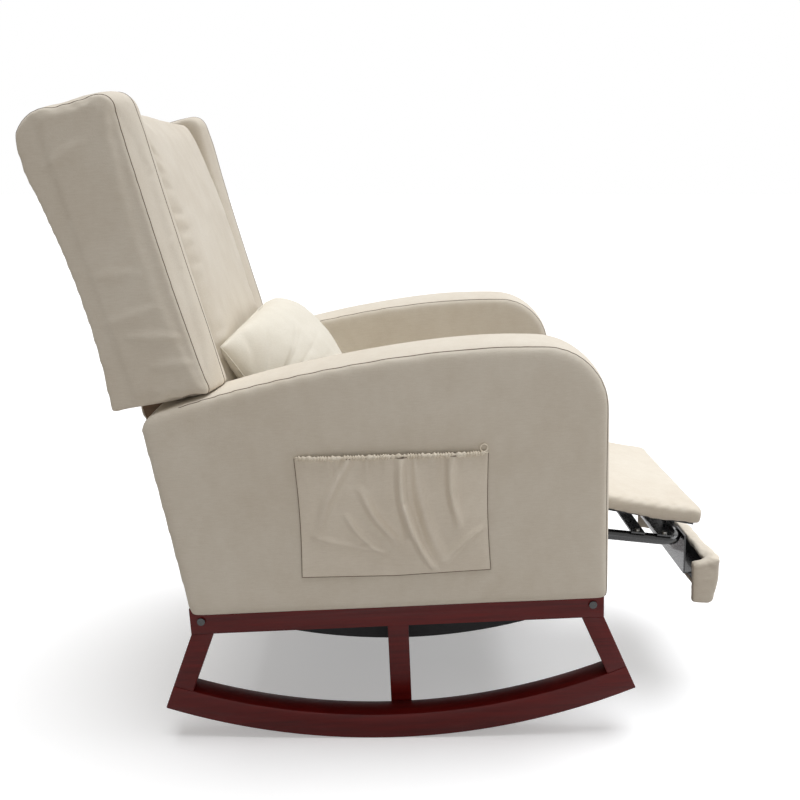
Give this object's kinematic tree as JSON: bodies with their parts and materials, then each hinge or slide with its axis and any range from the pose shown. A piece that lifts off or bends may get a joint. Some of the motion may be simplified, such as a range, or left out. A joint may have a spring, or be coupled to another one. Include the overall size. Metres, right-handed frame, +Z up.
{
  "type": "recliner armchair",
  "caption": "Upholstered wing-back recliner armchair on a wooden rocker base, with a reclining back, loose lumbar pillow, side pocket and pull-out footrest whose pad folds down as it closes",
  "frame": {"origin": "on the floor, midway between the two runners and midway along them", "axes": "+X is the way the sitter faces, +Y the sitter's left, +Z up"},
  "size_m": [1.1061, 0.7162, 1.0804],
  "materials": {
    "suede_cloth": "short-napped beige suede cloth",
    "pillow_cloth": "pale short-napped cloth",
    "cover_cloth": "thin black non-woven cloth",
    "elastic": "gathered elastic hem",
    "show_wood": "dark cherry stain, semi-gloss lacquer",
    "frame_wood": "plain sawn hardwood and plywood",
    "black_board": "black painted plywood",
    "black_steel": "gloss black enamel",
    "bright_steel": "bright zinc"
  },
  "bodies": {
    "base": {"arm_board_left": "frame_wood", "arm_board_right": "frame_wood", "arm_upholstery_left": "suede_cloth", "arm_upholstery_right": "suede_cloth", "back_pivot_pin_left": "bright_steel", "back_pivot_pin_right": "bright_steel", "base_bolts": "black_steel", "base_leg_front_left": "show_wood", "base_leg_front_right": "show_wood", "base_leg_rear_left": "show_wood", "base_leg_rear_right": "show_wood", "base_rail_left": "show_wood", "base_rail_right": "show_wood", "base_stretcher_front": "show_wood", "base_stretcher_rear": "show_wood", "guide_sleeve_left": "black_steel", "guide_sleeve_right": "black_steel", "middle_post_left": "show_wood", "middle_post_right": "show_wood", "pocket_elastic": "elastic", "rear_lower_panel": "suede_cloth", "rocker_runner_left": "show_wood", "rocker_runner_right": "show_wood", "seat_corner_blocks": "frame_wood", "seat_cushion": "suede_cloth", "seat_front_rail": "frame_wood", "seat_rear_rail": "frame_wood", "seat_side_rail_left": "frame_wood", "seat_side_rail_right": "frame_wood", "seat_springs": "bright_steel", "side_pocket": "suede_cloth", "underside_cover": "cover_cloth"},
    "back": {"back_bracket_left": "black_steel", "back_bracket_right": "black_steel", "back_cushion": "suede_cloth", "back_post_left": "frame_wood", "back_post_right": "frame_wood", "back_rail_lower": "frame_wood", "back_rail_middle": "frame_wood", "back_rail_upper": "frame_wood", "back_springs": "bright_steel", "lumbar_pillow": "pillow_cloth", "outer_back_panel": "suede_cloth", "wing_board_left": "frame_wood", "wing_board_right": "frame_wood", "wing_left": "suede_cloth", "wing_right": "suede_cloth"},
    "footrest_frame": {"apron_board": "black_board", "apron_plate": "black_steel", "footrest_apron": "suede_cloth", "footrest_bolts": "bright_steel", "footrest_cross_bar": "black_steel", "footrest_front_plate": "black_steel", "footrest_tube": "black_steel"},
    "footrest_pad_body": {"footrest_board": "black_board", "footrest_pad": "suede_cloth", "pad_bracket_left": "black_steel", "pad_bracket_right": "black_steel"}
  },
  "joints": [
    {"name": "back_recline", "type": "hinge", "parent": "base", "child": "back", "pos_m": [-0.3, 0, 0.33], "axis": [0, -1, 0], "range_deg": [0, 20]},
    {"name": "footrest_slide", "type": "slide", "parent": "base", "child": "footrest_frame", "axis": [0.9885, 0, -0.1513], "range_m": [-0.237, 0]},
    {"name": "footrest_tilt", "type": "hinge", "parent": "footrest_frame", "child": "footrest_pad_body", "pos_m": [0.51, 0, 0.282], "axis": [0, 1, 0], "range_deg": [0, 77.4]}
  ],
  "couplings": [
    {"joint": "footrest_tilt", "follows": "footrest_slide", "rad_per_m": -5.693}
  ]
}
